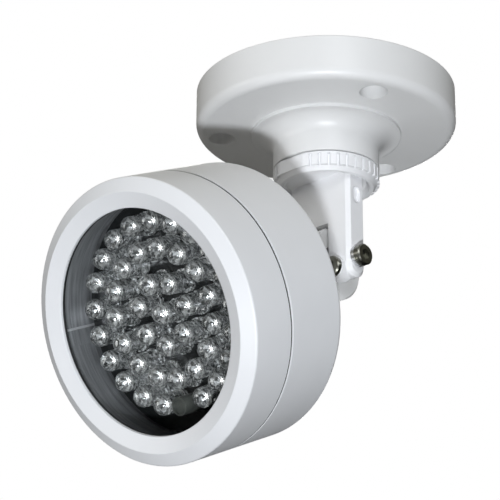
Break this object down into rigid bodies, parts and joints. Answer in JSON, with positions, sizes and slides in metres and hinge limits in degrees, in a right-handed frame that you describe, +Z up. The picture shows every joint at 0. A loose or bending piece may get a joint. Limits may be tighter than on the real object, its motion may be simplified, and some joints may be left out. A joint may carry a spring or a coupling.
{
  "type": "infrared illuminator",
  "caption": "Round infrared lamp on a ceiling flange: toothed pan ring, forked tilt hinge with lock screw, and a window over rings of clear emitters.",
  "frame": {"origin": "centre of the flange's back face, where it lies on the ceiling", "axes": "+Z up into the ceiling along the pan axis, -Y the way the lamp looks at rest, +X along the tilt axis to the screw head's side"},
  "size_m": [0.068, 0.1104, 0.1098],
  "materials": {
    "white_base": "satin white powder coat",
    "white_yoke": "satin white powder coat",
    "white_bracket": "satin white powder coat",
    "white_housing": "satin white paint",
    "white_bezel": "satin white paint",
    "sleeve_metal": "dark turned anodised",
    "black_screw": "black oxide",
    "zinc_steel": "zinc plated",
    "nylon": "moulded nylon",
    "black_rubber": "moulded rubber",
    "clear_window": "clear polycarbonate",
    "clear_epoxy": "water-clear epoxy",
    "dark_lens": "dark resin",
    "black_board": "black solder mask on glass fibre",
    "green_board": "green solder mask on glass fibre",
    "brass_pillar": "turned, nickel-free",
    "capacitor_can": "sleeved can",
    "chip_plastic": "moulded epoxy",
    "resistor_body": "lacquered"
  },
  "bodies": {
    "base": {"base_flange": "white_base", "pan_spring_washer": "zinc_steel", "thrust_washer": "nylon"},
    "yoke_body": {"yoke": "white_yoke", "pan_bolt": "zinc_steel", "hinge_screw": "black_screw", "hinge_washer": "zinc_steel", "hinge_nut": "black_screw", "lock_screw": "black_screw", "friction_washers": "nylon"},
    "head": {"head_bracket": "white_bracket", "bracket_gasket": "black_rubber", "bracket_screws": "zinc_steel", "rear_housing": "white_housing", "front_bezel": "white_bezel", "housing_seal": "black_rubber", "window": "clear_window", "window_gasket": "black_rubber", "sleeve": "sleeve_metal", "led_board": "black_board", "leds": "clear_epoxy", "photocell": "dark_lens", "driver_board": "green_board", "standoffs": "brass_pillar", "capacitor": "capacitor_can", "regulator": "chip_plastic", "link_header": "chip_plastic", "string_resistors": "resistor_body", "cable_grommet": "black_rubber"}
  },
  "joints": [
    {"name": "pan", "type": "hinge", "parent": "base", "child": "yoke_body", "pos_m": [0, 0, 0], "axis": [0, 0, 1], "range_deg": [-180, 180]},
    {"name": "tilt", "type": "hinge", "parent": "yoke_body", "child": "head", "pos_m": [0, 0, -0.04845], "axis": [1, 0, 0], "range_deg": [-29, 65.8]}
  ]
}
